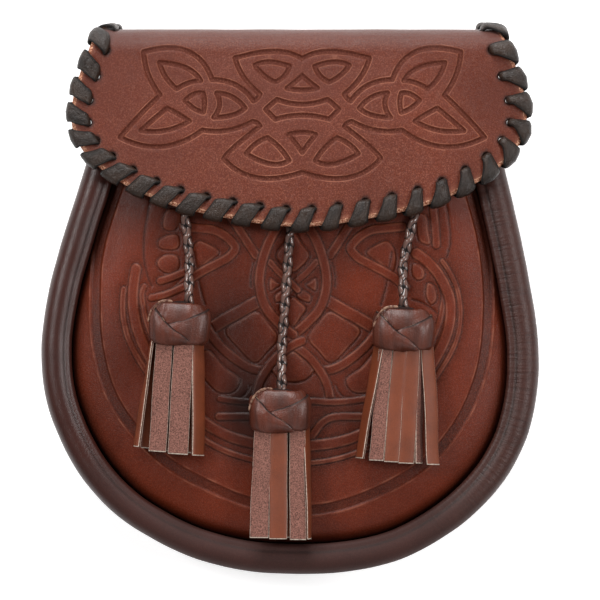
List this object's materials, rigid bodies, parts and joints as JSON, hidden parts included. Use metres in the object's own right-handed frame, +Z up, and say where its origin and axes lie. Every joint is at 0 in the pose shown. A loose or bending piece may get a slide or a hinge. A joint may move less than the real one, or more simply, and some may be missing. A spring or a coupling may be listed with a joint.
{
  "type": "sporran pouch",
  "caption": "Leather sporran pouch lying on its back: laced embossed flap, padded piping round a domed front panel, braided cords with leather tassels, strap loop behind",
  "frame": {"origin": "on the surface the pouch lies on, under the middle of the pouch without its tassels", "axes": "+Z up, out of the pouch's front as it lies on its back; +Y toward the flap's fold; +X to the right as the front is looked at"},
  "size_m": [0.1867, 0.2073, 0.0533],
  "materials": {
    "panel_leather": "reddish brown smooth leather, burnished, low sheen, darker toward the edges",
    "back_leather": "plain brown leather, matt",
    "gusset_leather": "soft brown leather, low sheen",
    "piping_leather": "very dark brown soft leather, semi-gloss, fine wrinkles",
    "flap_leather": "reddish brown smooth leather, low sheen, raw copper-brown cut edge",
    "lace_leather": "dark grey-brown flat lace, semi-gloss",
    "stud_brass": "plain brass press stud",
    "loop_leather": "plain brown leather",
    "cord_leather": "dark brown braided round thong, semi-gloss",
    "knot_leather": "dark brown woven strips, semi-gloss",
    "tassel_leather": "cut strips, orange-brown grain side and pinkish suede side, light cut edges"
  },
  "bodies": {
    "root": {"front_panel": "panel_leather", "back_panel": "back_leather", "gusset": "gusset_leather", "front_piping": "piping_leather", "flap": "flap_leather", "flap_lacing": "lace_leather", "flap_stud": "stud_brass", "back_strap_loop": "loop_leather", "cord_left": "cord_leather", "cord_middle": "cord_leather", "cord_right": "cord_leather", "tassel_knot_left": "knot_leather", "tassel_knot_middle": "knot_leather", "tassel_knot_right": "knot_leather", "tassel_skirt_left": "tassel_leather", "tassel_skirt_middle": "tassel_leather", "tassel_skirt_right": "tassel_leather"}
  },
  "joints": []
}
